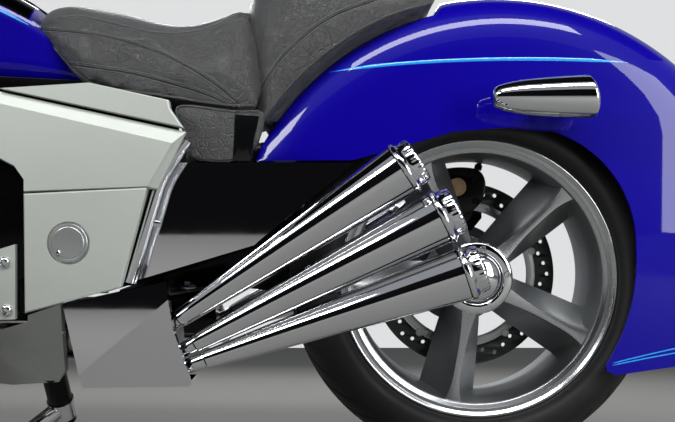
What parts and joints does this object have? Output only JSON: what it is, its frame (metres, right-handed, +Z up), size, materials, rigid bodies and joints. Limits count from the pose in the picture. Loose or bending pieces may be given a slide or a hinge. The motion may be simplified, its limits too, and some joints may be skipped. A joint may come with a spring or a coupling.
{
  "type": "cruiser motorcycle",
  "caption": "Long, low cruiser motorcycle with a wide flat engine, stub cone exhausts, deep rear fender and a side stand.",
  "frame": {"origin": "centre of the bounding box on the road, with the machine parked on its side stand", "axes": "+X forward, +Y to the rider's left, +Z up"},
  "size_m": [2.6095, 0.9719, 1.197],
  "materials": {
    "paint": "high gloss blue lacquer",
    "brushed_aluminium": "brushed",
    "chrome": "mirror",
    "leather": "grained, satin",
    "tyre": "matt",
    "wheel_metal": "dark cast with machined edges",
    "brake_steel": "ground",
    "black_metal": "satin black",
    "cast_grey": "bead blasted",
    "black_plastic": "matt",
    "red_lens": "clear red",
    "grip_rubber": "matt"
  },
  "bodies": {
    "chassis": {"access_caps": "brushed_aluminium", "chrome_panels": "chrome", "cylinder_heads": "cast_grey", "engine_block": "cast_grey", "exhaust_chambers": "black_metal", "exhaust_cones_left": "chrome", "exhaust_cones_right": "chrome", "faceted_covers": "chrome", "final_drive": "cast_grey", "foot_controls": "chrome", "footpegs": "black_metal", "frame_covers_left": "brushed_aluminium", "frame_covers_right": "brushed_aluminium", "frame_posts": "chrome", "fuel_tank": "paint", "head_covers": "chrome", "header_pipes": "chrome", "intake_runners": "chrome", "lower_rails": "cast_grey", "main_frame": "brushed_aluminium", "passenger_seat": "leather", "plate_holder": "black_plastic", "radiators": "black_plastic", "rear_axle": "brake_steel", "rear_caliper": "black_metal", "rear_fender": "paint", "rear_signals": "chrome", "rider_seat": "leather", "seat_skirts": "leather", "stand_bracket": "black_metal", "swingarm": "cast_grey", "tail_lamp": "red_lens", "tank_console": "chrome"},
    "front_end": {"fork_legs": "chrome", "front_axle": "brake_steel", "front_calipers": "black_metal", "front_fender": "paint", "front_signals": "chrome", "grips": "grip_rubber", "handlebar": "chrome", "headlamp": "chrome", "instruments": "chrome", "levers": "brushed_aluminium", "mirrors": "chrome", "triple_clamps": "brushed_aluminium"},
    "front_wheel": {"front_discs": "brake_steel", "front_rim": "wheel_metal", "front_tyre": "tyre"},
    "rear_wheel": {"rear_disc": "brake_steel", "rear_hub_cap": "chrome", "rear_rim": "wheel_metal", "rear_tyre": "tyre"},
    "side_stand": {"side_stand": "chrome"}
  },
  "joints": [
    {"name": "rear_wheel_spin", "type": "hinge", "parent": "chassis", "child": "rear_wheel", "pos_m": [-0.77076, -0.09238, 0.31296], "axis": [0, 0.9903, -0.1392], "continuous": true},
    {"name": "steering", "type": "hinge", "parent": "chassis", "child": "front_end", "pos_m": [0.69261, -0.02911, 0.7632], "axis": [-0.4848, 0.1217, 0.8661], "range_deg": [-34, 34]},
    {"name": "front_wheel_spin", "type": "hinge", "parent": "front_end", "child": "front_wheel", "pos_m": [0.97924, -0.09183, 0.31692], "axis": [0, 0.9903, -0.1392], "continuous": true},
    {"name": "side_stand_fold", "type": "hinge", "parent": "chassis", "child": "side_stand", "pos_m": [-0.12576, 0.0703, 0.10529], "axis": [-0.0025, 0.6113, 0.7914], "range_deg": [0, 115.5]}
  ]
}
